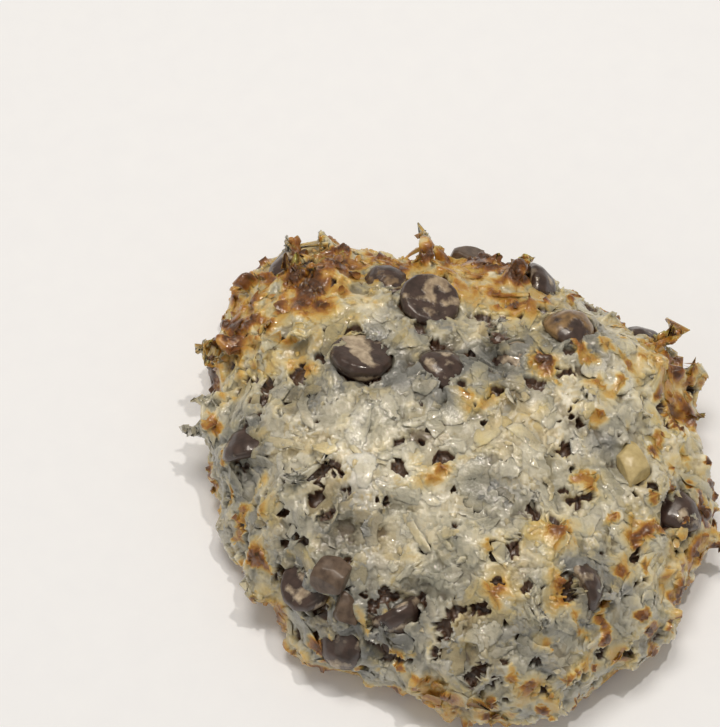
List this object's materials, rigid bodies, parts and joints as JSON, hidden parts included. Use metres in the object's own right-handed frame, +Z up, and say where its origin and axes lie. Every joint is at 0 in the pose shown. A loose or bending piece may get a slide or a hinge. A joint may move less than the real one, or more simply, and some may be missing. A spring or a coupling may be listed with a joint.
{
  "type": "coconut drop cookie",
  "caption": "Thick round drop cookie of flaked coconut with a craggy, toasted top, a flat baked face, and chocolate chips and chopped almonds set into it.",
  "frame": {"origin": "on the flat baked face, under the middle of the cookie's plan", "axes": "+Z up, out of the baked face; -Y towards the viewer of the picture and +X to the viewer's right"},
  "size_m": [0.0804, 0.0784, 0.026],
  "materials": {
    "coconut": "moist, flaky",
    "chocolate": "satin",
    "almond": "satin"
  },
  "bodies": {
    "root": {"coconut_cookie": "coconut", "chocolate_chip_1": "chocolate", "chocolate_chip_2": "chocolate", "chocolate_chip_3": "chocolate", "chocolate_chip_4": "chocolate", "chocolate_chip_5": "chocolate", "chocolate_chip_6": "chocolate", "chocolate_chip_7": "chocolate", "chocolate_chip_8": "chocolate", "chocolate_chip_9": "chocolate", "chocolate_chip_10": "chocolate", "chocolate_chip_11": "chocolate", "chocolate_chip_12": "chocolate", "chocolate_chip_13": "chocolate", "chocolate_chip_14": "chocolate", "chocolate_chip_15": "chocolate", "almond_piece_1": "almond", "almond_piece_2": "almond", "almond_piece_3": "almond", "almond_piece_4": "almond"}
  },
  "joints": []
}
